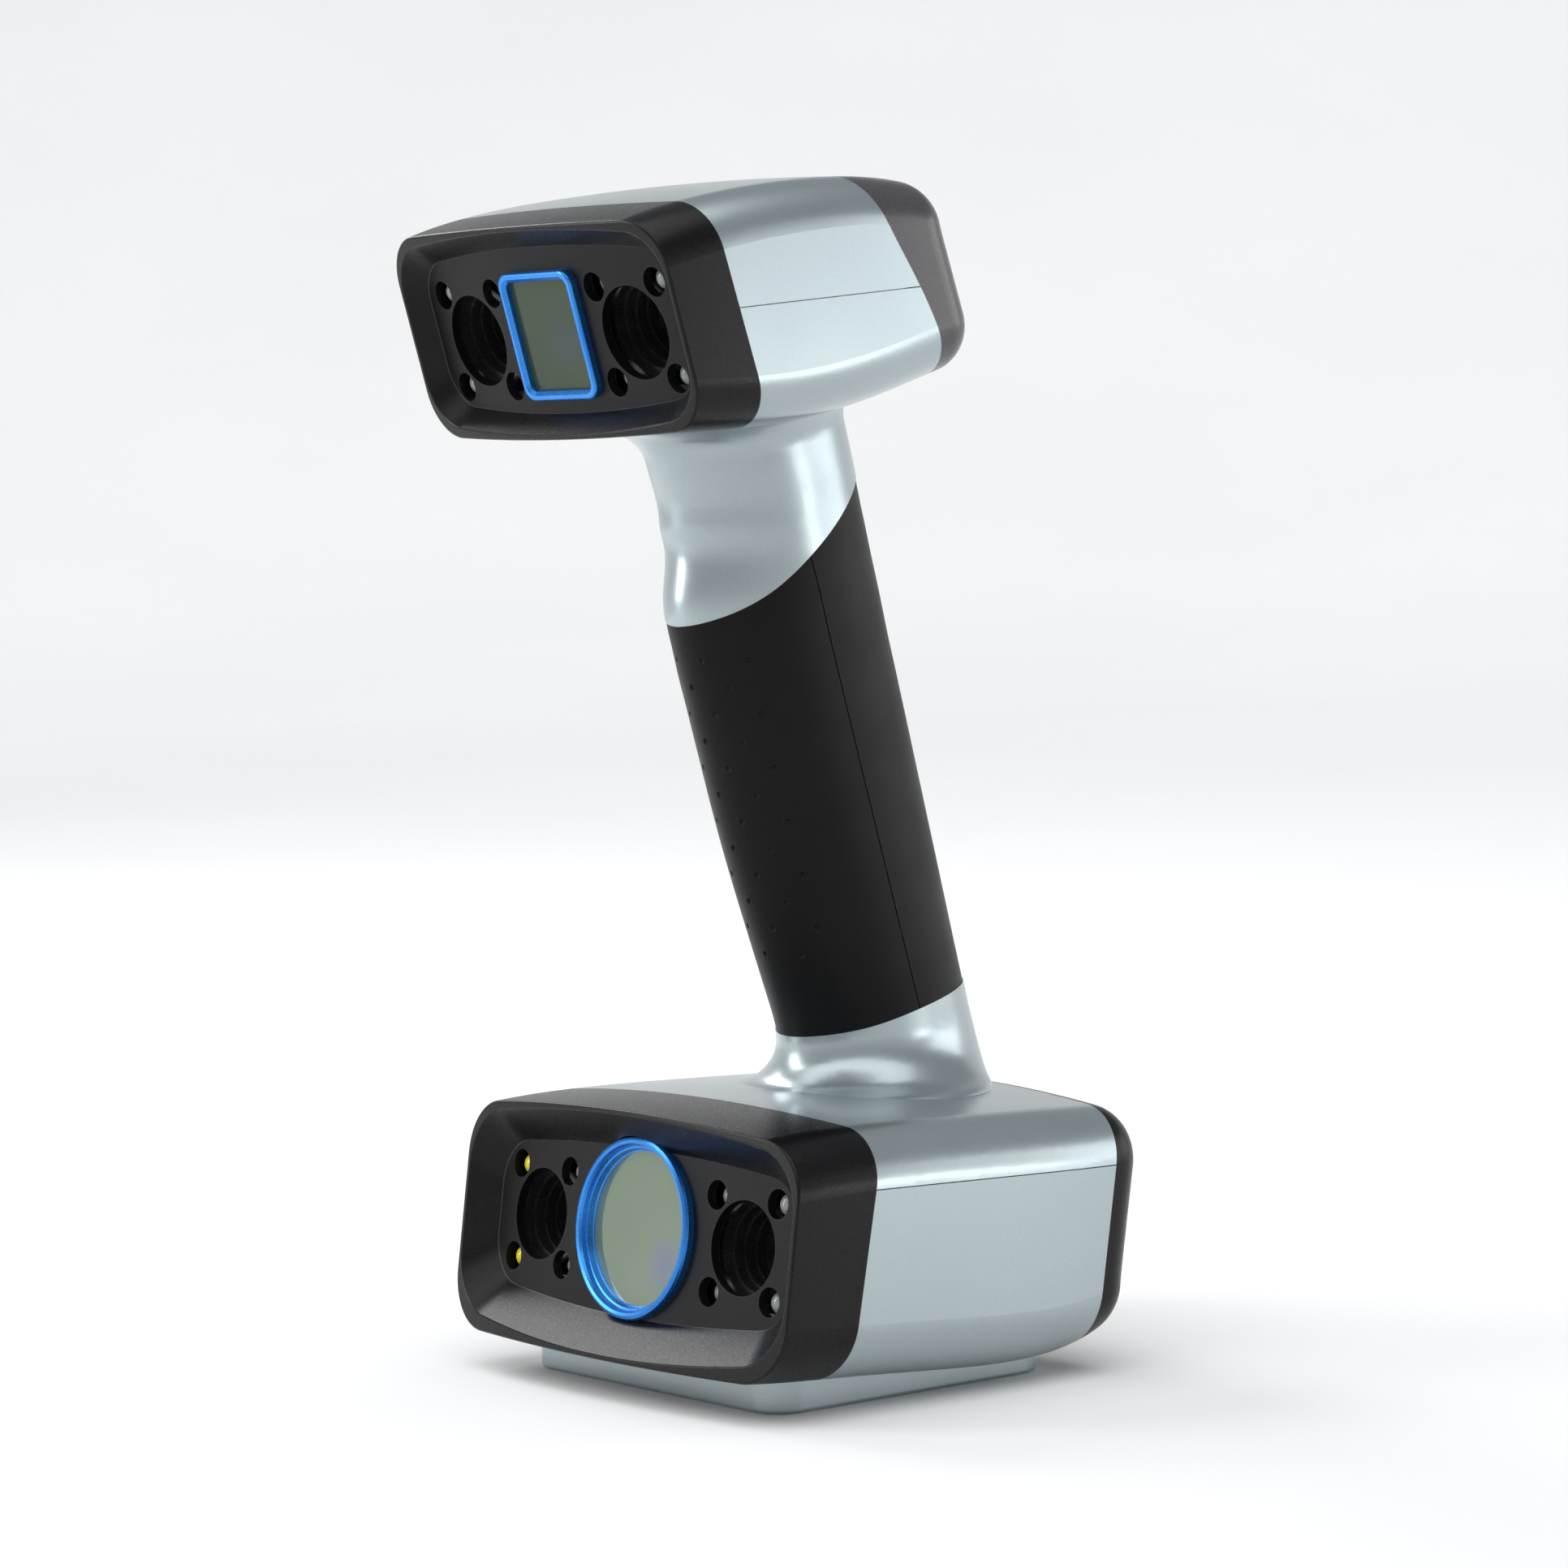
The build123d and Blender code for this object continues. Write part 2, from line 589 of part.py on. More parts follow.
# ---------------------------------------------------------------- handle pieces
def grip_shell():
    """The grip's wall between neck and collar."""
    shell = handle_bar(GRIP_INSET) + handle_root(0.01, GRIP_INSET) - handle_hollow(WALL)
    shell -= above_curve(NECK_JOINT)
    return shell & above_curve(COLLAR_JOINT)


def grip_dimples():
    """Rows of small dimples on the front of the grip."""
    dimples = []
    for column in range(-3, 4):
        top = 137.5 if column % 2 == 0 else 143.0
        for row in range(DIMPLE_ROWS):
            z = top - DIMPLE_PITCH * row
            centre_y, half_width, half_depth = handle_station(z)
            turn = radians(column * DIMPLE_ANGLE)
            spot = Vector(half_width * sin(turn), centre_y - half_depth * cos(turn), z)
            outward = Vector(sin(turn) / half_width, -cos(turn) / half_depth, 0).normalized()
            centre = spot + outward * (DIMPLE_RADIUS - 0.4 - GRIP_INSET)
            dimples.append(Pos(*centre) * Sphere(DIMPLE_RADIUS))
    return dimples


def handle_core():
    """The metal tube inside the handle, with a flange in each head."""
    tube = handle_hollow(CORE_INSET) - handle_hollow(CORE_INSET + CORE_WALL)
    tube -= above(0, CORE_TOP, 0)
    low_y = handle_station(HANDLE_FOOT)[0] + (HANDLE_FOOT - COLLAR_BASE) * HANDLE_LEAN
    foot = Pos(0, low_y - 3, COLLAR_BASE - CORE_FOOT[2] / 2) * Box(*CORE_FOOT)
    head = Pos(0, -7, CORE_TOP + CORE_HEAD[2] / 2) * Box(*CORE_HEAD)
    core = tube + foot + head
    return core - handle_cable()


def handle_cable():
    """The bundle of wires that runs through the handle from board to board."""
    low, high = [Vector(0, y, z) for y, z in CABLE_ENDS]
    plane = Plane(origin=low, z_dir=(high - low).normalized())
    return disc(plane, CABLE_RADIUS, 0, (high - low).length)


# ---------------------------------------------------------------- rear of the upper head
def rear_panel(outer):
    """The glossy panel that closes the upper head, with its button and light openings."""
    plane = rear_plane(UPPER)
    panel = outer - block_behind(rear_plane(UPPER, -REAR_PANEL_THICK))
    for u, radius in BUTTONS.values():
        panel -= disc(plane * Pos(u, 0, 0), radius + BUTTON_GAP, -5, 5)
    return panel - status_light()


def status_light():
    """The light guide above the scan button."""
    width, height, v = STATUS_BAR
    bar = extrude(SlotOverall(width, height), REAR_PANEL_THICK + 2)
    return rear_plane(UPPER) * Pos(0, v, -REAR_PANEL_THICK - 2) * bar


def button(u, radius):
    """A domed push button with a retaining flange and a stem towards its switch."""
    under = -REAR_PANEL_THICK - 0.1
    cap = domed_plug(radius, under, BUTTON_STAND - 0.5, BUTTON_STAND)
    flange = disc(Plane.XY, radius + 0.9, under - 1.0, under)
    stem = disc(Plane.XY, 1.2, SWITCH_TOP + BUTTON_TRAVEL + 0.1, under - 1.0)
    return rear_plane(UPPER) * Pos(u, 0, 0) * (cap + flange + stem)


def button_board():
    """The board behind the rear panel with a switch under each button and a lamp for the light."""
    board = Pos(0, 0, SWITCH_TOP - 2.5 - BOARD_THICK / 2) * Box(*BUTTON_BOARD, BOARD_THICK)
    for u, _ in BUTTONS.values():
        switch = block_from(SWITCH_TOP - 0.5, SWITCH_CASE) + disc(Plane.XY, 1.6, SWITCH_TOP - 0.5, SWITCH_TOP)
        board += Pos(u, 0, 0) * switch
    return rear_plane(UPPER) * board


# ---------------------------------------------------------------- rear of the lower head
def socket_pieces():
    """The cable socket: metal collar, insulator and contacts."""
    plane = rear_plane(LOWER)
    collar = disc(plane, SOCKET_RADIUS + SOCKET_WALL, -SOCKET_DEPTH, SOCKET_LIP)
    collar -= disc(plane, SOCKET_RADIUS, -SOCKET_CLEAR, SOCKET_LIP + 1)
    collar -= disc(plane, INSERT_RADIUS, -SOCKET_DEPTH, 0)
    rim = collar.faces().filter_by(GeomType.PLANE).sort_by(Axis.Y)[-1]
    collar = chamfer(rim.inner_wires()[0].edges(), 0.4)
    insert = disc(plane, INSERT_RADIUS, -SOCKET_DEPTH, -SOCKET_CLEAR)
    contacts = []
    for place in [Pos(0, 0, 0)] + list(PolarLocations(CONTACT_RING, CONTACTS - 1)):
        contact = disc(plane * place, CONTACT_RADIUS, -SOCKET_CLEAR - CONTACT_DEPTH, -SOCKET_CLEAR)
        insert -= contact
        contacts.append(contact - disc(plane * place, CONTACT_RADIUS - 0.4, -SOCKET_CLEAR - 2, 0))
    return collar, insert, group(contacts)


def main_board():
    """The processing board that stands across the lower head behind the heat sink."""
    y, middle = MAIN_BOARD_PLACE
    thick = MAIN_BOARD[1]
    board = Pos(0, y, middle) * Box(*MAIN_BOARD)
    for x, z, width, height in CHIPS:
        board += Pos(x, y - thick, z) * Box(width, thick, height)
    return board


# ---------------------------------------------------------------- base
def base_pad(outer):
    """The flat pad that the scanner stands on, fitted to the lower head's underside."""
    outline = RectangleRounded(PAD_WIDTH, PAD_FRONT + PAD_REAR, PAD_CORNER)
    pad = extrude(Pos(0, (PAD_REAR - PAD_FRONT) / 2, 0) * outline, 9)
    pad = fillet(pad.faces().sort_by(Axis.Z)[0].edges(), 0.8)
    for x, y in pad_screw_places():
        pad -= Pos(x, y, 0) * Cylinder(2 * SCREW_RADIUS + 0.4, 3.2)
        pad -= Pos(x, y, 0) * Cylinder(SCREW_RADIUS, 30)
    return pad - outer


def pad_screw_places():
    """The four screws under the base pad."""
    return [(side * PAD_SCREW_X, y) for side in (-1, 1) for y in PAD_SCREW_Y]


def pad_screws():
    """The screws that hold the base pad, heads down."""
    down = [Plane(origin=(x, y, 1.6), x_dir=(1, 0, 0), z_dir=(0, 0, -1)) for x, y in pad_screw_places()]
    return group(screw(plane, 8) for plane in down)


# ---------------------------------------------------------------- assembly
def optics_nodes(head, name):
    """The pieces that both heads share behind their lens panels."""
    face = face_plane(*head.face)
    nodes = {}
    for side, (u, _) in zip(("left", "right"), lens_places(head)):
        nodes[f"{name}_{side}_camera_barrel"] = camera_barrel(face, u)
    nodes[f"{name}_camera_lenses"] = group(camera_lens(face, u) for u, _ in lens_places(head))
    nodes[f"{name}_sensor_boards"] = group(sensor_board(face, u) for u, _ in lens_places(head))
    nodes[f"{name}_lamp_boards"] = group(lamp_board(face, u) for u, _ in lens_places(head))
    nodes[f"{name}_chassis_screws"] = chassis_screws(head)
    return nodes


def lower_head():
    """Every piece of the lower head with the collar that carries the handle."""
    outer, hollow = head_body(LOWER), head_body(LOWER, WALL)
    zone, walls = shell_zone(LOWER), outer - hollow
    face = face_plane(*LOWER.face)
    nodes = optics_nodes(LOWER, "lower")

    collar = handle_root(COLLAR_FLARE) + handle_bar() - hollow - above_curve(COLLAR_JOINT)
    opening = handle_hollow(WALL)
    top = (walls & zone & above(*LOWER.seam, SEAM / 2)) + collar
    nodes["lower_top_shell"] = top - opening
    bottom = (walls & zone) - above(*LOWER.seam, -SEAM / 2)
    bottom += seam_tongue(LOWER, hollow, zone)
    for x, y in pad_screw_places():
        bottom += (Pos(x, y, 8) * Cylinder(BOSS_RADIUS, 10)) & outer
        bottom -= Pos(x, y, 4.6) * Cylinder(SCREW_RADIUS, 10)
    nodes["lower_bottom_shell"] = bottom

    collar_piece, insert, contacts = socket_pieces()
    rear = (walls & behind_curve(LOWER.rear_joint)) - collar
    rear -= disc(rear_plane(LOWER), SOCKET_RADIUS + SOCKET_WALL, -SOCKET_DEPTH, 5)
    screws = []
    for u, v in [(a * REAR_SCREWS[0], b * REAR_SCREWS[1]) for a in (-1, 1) for b in (-1, 1)]:
        seat = rear_plane(LOWER, -SCREW_HEAD - 0.2) * Pos(u, v, 0)
        rear -= disc(seat, 2 * SCREW_RADIUS + 0.2, 0, 5) + disc(seat, SCREW_RADIUS, -5, 1)
        screws.append(screw(seat, 5))
    nodes["lower_rear_cover"] = rear
    nodes["rear_cover_screws"] = group(screws)
    nodes["cable_socket_collar"] = collar_piece
    nodes["cable_socket_insert"] = insert
    nodes["cable_socket_contacts"] = contacts

    ring, glass, gasket = round_window()
    nodes["lower_window_ring"] = ring
    nodes["lower_window_glass"] = glass
    nodes["lower_window_gasket"] = gasket
    window = disc(face * Pos(0, RING_V, 0), RING_RADIUS, -9, 9)
    nodes["lower_front_bezel"] = front_bezel(LOWER, outer, hollow) - window
    nodes["lower_lens_panel"] = lens_panel(LOWER, hollow, window)
    nodes["lower_chassis"] = optics_chassis(LOWER, (14.5, 14.9))
    nodes["pattern_projector"] = pattern_projector()
    nodes["projector_heat_sink"] = heat_sink()
    nodes["main_board"] = main_board()
    places = lamp_places(LOWER)
    markers = [(u, v) for u, v in places if u < -LOWER.lens_u]
    nodes["lower_lamps"] = group(lamp(face, u, v) for u, v in places if (u, v) not in markers)
    nodes["marker_lamps"] = group(lamp(face, u, v) for u, v in markers)
    nodes["base_pad"] = base_pad(outer)
    nodes["base_pad_screws"] = pad_screws()
    return nodes


def upper_head():
    """Every piece of the upper head with the neck that it sits on."""
    outer, hollow = head_body(UPPER), head_body(UPPER, WALL)
    zone, walls = shell_zone(UPPER), outer - hollow
    face = face_plane(*UPPER.face)
    nodes = optics_nodes(UPPER, "upper")

    bar = handle_bar()
    joined = outer + bar
    neck = fillet(new_edges(outer, bar, combined=joined), NECK_FILLET) - outer
    neck = (neck & above_curve(NECK_JOINT)) - handle_bar(WALL)
    nodes["upper_top_shell"] = walls & zone & above(*UPPER.seam, SEAM / 2)
    bottom = (walls & zone) - above(*UPPER.seam, -SEAM / 2) - handle_bar(WALL)
    nodes["upper_bottom_shell"] = bottom + seam_tongue(UPPER, hollow, zone) + neck

    before_panel = block_behind(rear_plane(UPPER, -REAR_PANEL_THICK))
    rear = walls & behind_curve(UPPER.rear_joint) & before_panel
    nodes["upper_rear_cover"] = rear - handle_bar(WALL)
    nodes["rear_button_panel"] = rear_panel(outer)
    nodes["status_light"] = status_light()
    nodes["button_board"] = button_board()
    for name, (u, radius) in BUTTONS.items():
        nodes[name] = button(u, radius)

    frame, glass, gasket, window = square_window()
    nodes["upper_window_frame"] = frame
    nodes["upper_window_glass"] = glass
    nodes["upper_window_gasket"] = gasket
    nodes["upper_front_bezel"] = front_bezel(UPPER, outer, hollow)
    nodes["upper_lens_panel"] = lens_panel(UPPER, hollow, window)
    nodes["upper_chassis"] = optics_chassis(UPPER, (12.1, 13.7))
    nodes["line_projector"] = line_projector()
    nodes["upper_lamps"] = group(lamp(face, u, v) for u, v in lamp_places(UPPER))
    return nodes


def handle():
    """The two grip covers, the core tube and the wires inside it."""
    shell = grip_shell()
    middle = handle_station(HANDLE_FOOT)[0]
    rear_side = block_behind(face_plane(middle, HANDLE_FOOT, HANDLE_PITCH, -GRIP_SEAM / 2))
    front_side = block_behind(face_plane(middle, HANDLE_FOOT, HANDLE_PITCH, GRIP_SEAM / 2))
    return {
        "grip_front_cover": shell - front_side - grip_dimples(),
        "grip_rear_cover": shell & rear_side,
        "handle_core": handle_core(),
        "handle_cable": handle_cable(),
    }


def build():
    """Write one STEP file for each piece."""
    os.makedirs("parts", exist_ok=True)
    for name, piece in {**lower_head(), **upper_head(), **handle()}.items():
        export_step(piece, f"parts/{name}.step")


build()
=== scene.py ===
import json
import math

import bpy
from mathutils import Matrix, Vector


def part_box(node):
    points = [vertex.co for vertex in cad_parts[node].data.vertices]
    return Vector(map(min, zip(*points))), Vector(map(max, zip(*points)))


# A two-headed handheld scanner standing on its base pad. Metres, +Z up, -Y is the scanning side.
# Texture coordinates are object coordinates, so every scale below is in cycles per metre.

CAMERA_PLACE = Vector((0.80172, -0.63512, 0.18562))
CAMERA_TARGET = Vector((0.00763, -0.00157, 0.11796))
CAMERA_ROLL = -0.0244
SENSOR_WIDTH = 36.0
CAMERA_LENS = 118.26

FLOOR_FLAT = 2.6
SWEEP_RADIUS = 2.4
SWEEP_STEPS = 10
SWEEP_SIDES = 96
MM = 0.001
EDGE_HIGHLIGHT_REACH = 0.35 * MM      # how far from an edge the paler tone of the painted edge highlight reaches
METAL_GRAIN = 2200.0
METAL_STRETCH = (1.0, 6.0, 1.0)
VIOLET_REFLECTION_REACH = 7.0 * MM    # radius of the painted violet reflection on a filter glass


# ---------------------------------------------------------------- material helpers
def new_material(name, colour, roughness, metallic=0.0):
    """A principled material; returns it with its node tree and shader."""
    material = bpy.data.materials.new(name)
    material.use_nodes = True
    tree = material.node_tree
    shader = tree.nodes["Principled BSDF"]
    shader.inputs["Base Color"].default_value = (*colour, 1.0)
    shader.inputs["Roughness"].default_value = roughness
    shader.inputs["Metallic"].default_value = metallic
    return material, tree, shader


def object_coordinates(tree):
    """The object's own coordinates, which stay with a part when it moves."""
    return tree.nodes.new("ShaderNodeTexCoord").outputs["Object"]


def noise(tree, scale, detail=4.0, stretch=(1.0, 1.0, 1.0)):
    """A noise pattern's value from 0 to 1, with scale cycles per metre."""
    mapping = tree.nodes.new("ShaderNodeMapping")
    mapping.inputs["Scale"].default_value = stretch
    tree.links.new(object_coordinates(tree), mapping.inputs["Vector"])
    texture = tree.nodes.new("ShaderNodeTexNoise")
    texture.inputs["Scale"].default_value = scale
    texture.inputs["Detail"].default_value = detail
    tree.links.new(mapping.outputs["Vector"], texture.inputs["Vector"])
    return texture.outputs["Fac"]


def spread(tree, value, low, high, start=0.3, end=0.7):
    """A value from start to end, mapped to low to high."""
    ramp = tree.nodes.new("ShaderNodeMapRange")
    ramp.inputs["From Min"].default_value = start
    ramp.inputs["From Max"].default_value = end
    ramp.inputs["To Min"].default_value = low
    ramp.inputs["To Max"].default_value = high
    tree.links.new(value, ramp.inputs["Value"])
    return ramp.outputs["Result"]


def two_colours(tree, value, first, second, start=0.3, end=0.7):
    """A colour between first and second, by value."""
    ramp = tree.nodes.new("ShaderNodeValToRGB")
    ramp.color_ramp.elements[0].position = start
    ramp.color_ramp.elements[1].position = end
    ramp.color_ramp.elements[0].color = (*first, 1.0)
    ramp.color_ramp.elements[1].color = (*second, 1.0)
    tree.links.new(value, ramp.inputs["Fac"])
    return ramp.outputs["Color"]


def bump(tree, shader, height, distance, strength=1.0):
    """Relief of the given depth in metres."""
    node = tree.nodes.new("ShaderNodeBump")
    node.inputs["Distance"].default_value = distance
    node.inputs["Strength"].default_value = strength
    tree.links.new(height, node.inputs["Height"])
    tree.links.new(node.outputs["Normal"], shader.inputs["Normal"])


def edge_highlight_mask(tree, radius):
    """From 0 on flat ground to 1 on sharp edges, over the given radius in metres: the mask of a painted
    edge highlight.
    """
    bevel = tree.nodes.new("ShaderNodeBevel")
    bevel.inputs["Radius"].default_value = radius
    geometry = tree.nodes.new("ShaderNodeNewGeometry")
    dot = tree.nodes.new("ShaderNodeVectorMath")
    dot.operation = "DOT_PRODUCT"
    tree.links.new(bevel.outputs["Normal"], dot.inputs[0])
    tree.links.new(geometry.outputs["Normal"], dot.inputs[1])
    return spread(tree, dot.outputs["Value"], 1.0, 0.0, 0.80, 0.99)


def tone_and_edge_highlight(tree, shader, tones, highlight_tone, highlight_share):
    """Base colour that drifts between two tones and pales towards a lighter tone along edges, which is a
    painted edge highlight.
    """
    drift = two_colours(tree, noise(tree, 28.0, 3.0), *tones)
    mix = tree.nodes.new("ShaderNodeMix")
    mix.data_type = "RGBA"
    share = tree.nodes.new("ShaderNodeMath")
    share.operation = "MULTIPLY"
    share.inputs[1].default_value = highlight_share
    tree.links.new(edge_highlight_mask(tree, EDGE_HIGHLIGHT_REACH), share.inputs[0])
    tree.links.new(share.outputs["Value"], mix.inputs["Factor"])
    tree.links.new(drift, mix.inputs["A"])
    # the paler tone mixed in along edges is a painted edge highlight
    mix.inputs["B"].default_value = (*highlight_tone, 1.0)
    tree.links.new(mix.outputs["Result"], shader.inputs["Base Color"])


def moulded(name, tones, roughness, grain_scale, grain_depth, highlight_tone, highlight_share, shine=0.3):
    """A moulded plastic or rubber: drifting tone, grained surface, paler edges that are a painted
    highlight.
    """
    material, tree, shader = new_material(name, tones[0], roughness[0])
    shader.inputs["Specular IOR Level"].default_value = shine
    tone_and_edge_highlight(tree, shader, tones, highlight_tone, highlight_share)
    grain = noise(tree, grain_scale, 2.0)
    tree.links.new(spread(tree, grain, *roughness), shader.inputs["Roughness"])
    bump(tree, shader, grain, grain_depth)
    return material


# ---------------------------------------------------------------- materials
def silver_paint():
    """Silver-blue pearl paint under a clear coat, with fine flakes and faint orange peel."""
    material, tree, shader = new_material("silver_paint", (0.35, 0.41, 0.43), 0.30, 0.75)
    flakes = noise(tree, 9000.0, 0.0)
    colour = two_colours(tree, flakes, (0.325, 0.385, 0.403), (0.395, 0.455, 0.475))
    tree.links.new(colour, shader.inputs["Base Color"])
    tree.links.new(spread(tree, noise(tree, 45.0, 5.0), 0.28, 0.32), shader.inputs["Roughness"])
    bump(tree, shader, noise(tree, 700.0, 2.0), 0.012 * MM, 0.35)
    shader.inputs["Coat Weight"].default_value = 0.3
    shader.inputs["Coat Roughness"].default_value = 0.14
    return material


def bezel_plastic():
    """Satin black with a fine spark-eroded texture."""
    return moulded(
        "bezel_plastic",
        ((0.003, 0.003, 0.0035), (0.005, 0.005, 0.0055)),
        (0.26, 0.34),
        2600.0,
        0.004 * MM,
        (0.11, 0.115, 0.125),
        0.6,
        0.2,
    )


def panel_plastic():
    """Flat black of the lens panels, finer and duller than the bezels."""
    return moulded(
        "panel_plastic",
        ((0.003, 0.003, 0.0035), (0.005, 0.005, 0.006)),
        (0.34, 0.44),
        3200.0,
        0.005 * MM,
        (0.04, 0.04, 0.045),
        0.6,
        0.15,
    )


def graphite_plastic():
    """Warm dark grey satin plastic of the upper rear cover."""
    return moulded(
        "graphite_plastic",
        ((0.050, 0.048, 0.052), (0.062, 0.060, 0.064)),
        (0.24, 0.30),
        2400.0,
        0.004 * MM,
        (0.14, 0.135, 0.14),
        0.5,
        0.5,
    )


def rear_plastic():
    """Satin black plastic of the lower rear cover and of the cable socket's insulator."""
    return moulded(
        "rear_plastic",
        ((0.004, 0.004, 0.0045), (0.007, 0.007, 0.0075)),
        (0.28, 0.36),
        2400.0,
        0.005 * MM,
        (0.09, 0.09, 0.095),
        0.5,
        0.2,
    )


def button_plastic():
    """Soft black of the push buttons."""
    return moulded(
        "button_plastic",
        ((0.028, 0.028, 0.030), (0.036, 0.036, 0.038)),
        (0.36, 0.46),
        2800.0,
        0.006 * MM,
        (0.10, 0.10, 0.11),
        0.5,
    )


def black_rubber(name, roughness):
    """Plain black rubber of gaskets and cable jackets."""
    tones = ((0.014, 0.014, 0.014), (0.020, 0.020, 0.020))
    return moulded(name, tones, roughness, 1500.0, 0.02 * MM, (0.05, 0.05, 0.05), 0.3)


def gloss_black():
    """Polished black panel with hairline scratches."""
    material, tree, shader = new_material("gloss_black", (0.006, 0.006, 0.007), 0.06)
    scratches = noise(tree, 260.0, 8.0, (1.0, 9.0, 9.0))
    tree.links.new(spread(tree, scratches, 0.05, 0.16, 0.45, 0.8), shader.inputs["Roughness"])
    tone = two_colours(tree, noise(tree, 30.0), (0.005, 0.005, 0.006), (0.009, 0.009, 0.010))
    tree.links.new(tone, shader.inputs["Base Color"])
    shader.inputs["Coat Weight"].default_value = 1.0
    shader.inputs["Coat Roughness"].default_value = 0.03
    return material


def grip_rubber():
    """Matt soft-touch black with a powdery sheen and a fine leather-like grain."""
    material, tree, shader = new_material("grip_rubber", (0.004, 0.004, 0.0045), 0.5)
    # the grip's paler edges are a painted edge highlight
    tone_and_edge_highlight(
        tree, shader, ((0.003, 0.003, 0.0035), (0.005, 0.005, 0.0055)), (0.03, 0.029, 0.03), 0.5
    )
    polish = noise(tree, 60.0, 4.0)
    tree.links.new(spread(tree, polish, 0.40, 0.50), shader.inputs["Roughness"])
    shader.inputs["Specular IOR Level"].default_value = 0.14
    bump(tree, shader, noise(tree, 3600.0, 2.0), 0.010 * MM)
    shader.inputs["Sheen Weight"].default_value = 0.015
    shader.inputs["Sheen Roughness"].default_value = 0.4
    return material


def blue_anodised():
    """Blue anodised aluminium with fine turning marks."""
    material, tree, shader = new_material("blue_anodised", (0.035, 0.23, 0.68), 0.28, 0.85)
    tone = two_colours(tree, noise(tree, 90.0, 3.0), (0.028, 0.20, 0.64), (0.050, 0.27, 0.74))
    tree.links.new(tone, shader.inputs["Base Color"])
    grain = noise(tree, 5200.0, 1.0, (1.0, 1.0, 0.25))
    tree.links.new(spread(tree, grain, 0.24, 0.34), shader.inputs["Roughness"])
    bump(tree, shader, grain, 0.0015 * MM)
    return material


def filter_glass(name, deep, pale, violet_reflection, violet_reflection_place, mirror, coat):
    """Coated filter glass: a mirror-like tinted face with a violet patch painted in as a reflection off
    its coating.
    """
    material, tree, shader = new_material(name, deep, 0.05, mirror)
    distance = tree.nodes.new("ShaderNodeVectorMath")
    distance.operation = "DISTANCE"
    tree.links.new(object_coordinates(tree), distance.inputs[0])
    distance.inputs[1].default_value = violet_reflection_place
    near = spread(tree, distance.outputs["Value"], 0.35, 0.0, 1.0 * MM, VIOLET_REFLECTION_REACH)
    base = two_colours(tree, noise(tree, 35.0, 2.0), deep, pale)
    mix = tree.nodes.new("ShaderNodeMix")
    mix.data_type = "RGBA"
    tree.links.new(near, mix.inputs["Factor"])
    tree.links.new(base, mix.inputs["A"])
    mix.inputs["B"].default_value = (*violet_reflection, 1.0)
    tree.links.new(mix.outputs["Result"], shader.inputs["Base Color"])
    smudge = noise(tree, 120.0, 6.0)
    tree.links.new(spread(tree, smudge, 0.03, 0.09, 0.45, 0.8), shader.inputs["Roughness"])
    shader.inputs["Specular IOR Level"].default_value = 0.2
    shader.inputs["Coat Weight"].default_value = coat
    shader.inputs["Coat Roughness"].default_value = 0.02
    return material


def lens_glass():
    """Dark coated lens elements whose purple and green base colour is a painted coating reflection."""
    material, tree, shader = new_material("lens_glass", (0.01, 0.01, 0.02), 0.04, 0.2)
    coating_reflection_tint = two_colours(tree, noise(tree, 160.0, 1.0), (0.020, 0.008, 0.045), (0.008, 0.030, 0.020))
    tree.links.new(coating_reflection_tint, shader.inputs["Base Color"])
    shader.inputs["Coat Weight"].default_value = 1.0
    shader.inputs["Coat Roughness"].default_value = 0.02
    return material


def lamp_resin(name, colour, clear):
    """Cast resin of a small lamp, slightly cloudy inside."""
    material, tree, shader = new_material(name, colour, 0.05)
    shader.inputs["Transmission Weight"].default_value = clear
    shader.inputs["IOR"].default_value = 1.5
    pale = tuple(min(1.0, c * 1.15) for c in colour)
    tree.links.new(two_colours(tree, noise(tree, 500.0, 2.0), colour, pale), shader.inputs["Base Color"])
    tree.links.new(spread(tree, noise(tree, 900.0, 2.0), 0.03, 0.10), shader.inputs["Roughness"])
    return material


def barrel_black():
    """Black anodised lens tubes and projectors, slightly glossy so that their ridges catch light."""
    material, tree, shader = new_material("barrel_black", (0.012, 0.012, 0.013), 0.3, 0.3)
    tone = two_colours(tree, noise(tree, 200.0), (0.010, 0.010, 0.011), (0.018, 0.018, 0.020))
    tree.links.new(tone, shader.inputs["Base Color"])
    grain = noise(tree, 4000.0, 1.0)
    tree.links.new(spread(tree, grain, 0.24, 0.36), shader.inputs["Roughness"])
    bump(tree, shader, grain, 0.003 * MM)
    return material


def metal(name, tones, roughness):
    """A worked metal with directional grain."""
    material, tree, shader = new_material(name, tones[0], roughness[0], 1.0)
    tree.links.new(two_colours(tree, noise(tree, 80.0), *tones), shader.inputs["Base Color"])
    grain = noise(tree, METAL_GRAIN, 2.0, METAL_STRETCH)
    tree.links.new(spread(tree, grain, *roughness), shader.inputs["Roughness"])
    bump(tree, shader, grain, 0.004 * MM)
    return material


def circuit_board():
    """Green solder mask over faint copper tracks."""
    material, tree, shader = new_material("circuit_board", (0.01, 0.10, 0.04), 0.35)
    tracks = tree.nodes.new("ShaderNodeTexBrick")
    tracks.inputs["Scale"].default_value = 180.0
    tracks.inputs["Color1"].default_value = (0.010, 0.095, 0.040, 1.0)
    tracks.inputs["Color2"].default_value = (0.014, 0.120, 0.050, 1.0)
    tracks.inputs["Mortar"].default_value = (0.030, 0.190, 0.080, 1.0)
    tree.links.new(object_coordinates(tree), tracks.inputs["Vector"])
    tree.links.new(tracks.outputs["Color"], shader.inputs["Base Color"])
    tree.links.new(spread(tree, noise(tree, 300.0), 0.28, 0.42), shader.inputs["Roughness"])
    return material


